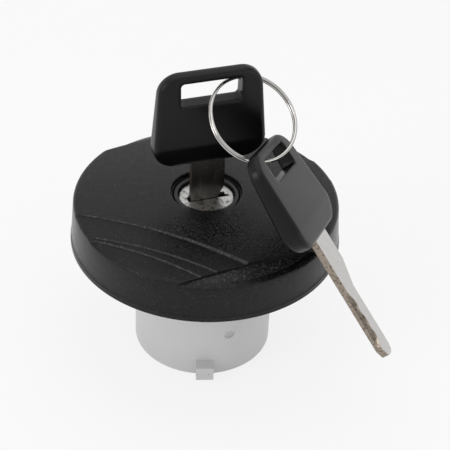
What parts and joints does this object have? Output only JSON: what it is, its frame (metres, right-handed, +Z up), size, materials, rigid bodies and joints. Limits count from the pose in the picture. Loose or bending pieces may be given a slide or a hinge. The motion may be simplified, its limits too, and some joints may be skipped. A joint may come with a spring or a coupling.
{
  "type": "fuel filler cap",
  "caption": "Locking bayonet fuel filler cap with a domed black cover, white vented neck, and its key, split ring and spare key.",
  "frame": {"origin": "centre of the neck's bottom edge, on the cap's axis", "axes": "+Z up the cap's axis through the lock; the bayonet lugs lie on -Y and +Y"},
  "size_m": [0.089, 0.0833, 0.0925],
  "materials": {
    "cover_black": "satin",
    "inner_black": "matte",
    "neck_white": "satin",
    "valve_white": "matte",
    "seal_rubber": "matte",
    "lock_zinc": "satin",
    "key_steel": "satin",
    "brass": "satin",
    "plated_steel": "satin",
    "spring_steel": "satin",
    "key_black": "satin",
    "ring_steel": "polished"
  },
  "bodies": {
    "neck": {"neck_body": "neck_white", "neck_gasket": "seal_rubber", "valve_cage": "valve_white", "pressure_spring": "spring_steel"},
    "cover": {"cover": "cover_black", "retainer_ring": "inner_black", "retainer_screws": "plated_steel", "lock_housing": "inner_black", "lock_screws": "plated_steel"},
    "barrel": {"lock_barrel": "lock_zinc", "lock_wafers": "brass", "wafer_springs": "spring_steel", "barrel_clip": "plated_steel", "barrel_cam": "lock_zinc"},
    "bolt": {"lock_bolt": "plated_steel"},
    "key": {"key_blade": "key_steel", "key_head": "key_black"},
    "ring": {"split_ring": "ring_steel"},
    "spare_key": {"spare_key_blade": "key_steel", "spare_key_head": "key_black"},
    "pressure_valve": {"pressure_disc": "valve_white", "pressure_seal": "seal_rubber", "vacuum_spring": "spring_steel"},
    "vacuum_valve": {"vacuum_valve": "valve_white", "vacuum_nut": "plated_steel"}
  },
  "joints": [
    {"name": "cover_spin", "type": "hinge", "parent": "neck", "child": "cover", "pos_m": [0, 0, 0.045], "axis": [0, 0, 1], "continuous": true},
    {"name": "barrel_turn", "type": "hinge", "parent": "cover", "child": "barrel", "pos_m": [0, 0, 0.04], "axis": [0, 0, -1], "range_deg": [0, 90]},
    {"name": "bolt_slide", "type": "slide", "parent": "cover", "child": "bolt", "axis": [0.9636, 0.2672, 0], "range_m": [0, 0.00256]},
    {"name": "key_pull", "type": "slide", "parent": "barrel", "child": "key", "axis": [0, 0, 1], "range_m": [0, 0.032]},
    {"name": "ring_swing", "type": "hinge", "parent": "key", "child": "ring", "pos_m": [0.01105, 0.00307, 0.08383], "axis": [-0.9359, -0.2595, 0.2383], "range_deg": [0, 50]},
    {"name": "spare_key_swing", "type": "hinge", "parent": "ring", "child": "spare_key", "pos_m": [0.0177, -0.01212, 0.07221], "axis": [-0.975, -0.222, 0.008], "range_deg": [0, 45]},
    {"name": "pressure_lift", "type": "slide", "parent": "neck", "child": "pressure_valve", "axis": [0, 0, 1], "range_m": [0, 0.002], "stiffness_N_per_m": 400, "springref_m": -0.002, "deforming": ["pressure_spring"]},
    {"name": "vacuum_drop", "type": "slide", "parent": "pressure_valve", "child": "vacuum_valve", "axis": [0, 0, -1], "range_m": [0, 0.001], "stiffness_N_per_m": 60, "springref_m": -0.001, "deforming": ["vacuum_spring"]}
  ],
  "couplings": [
    {"joint": "bolt_slide", "follows": "barrel_turn", "m_per_rad": 0.0016208}
  ]
}
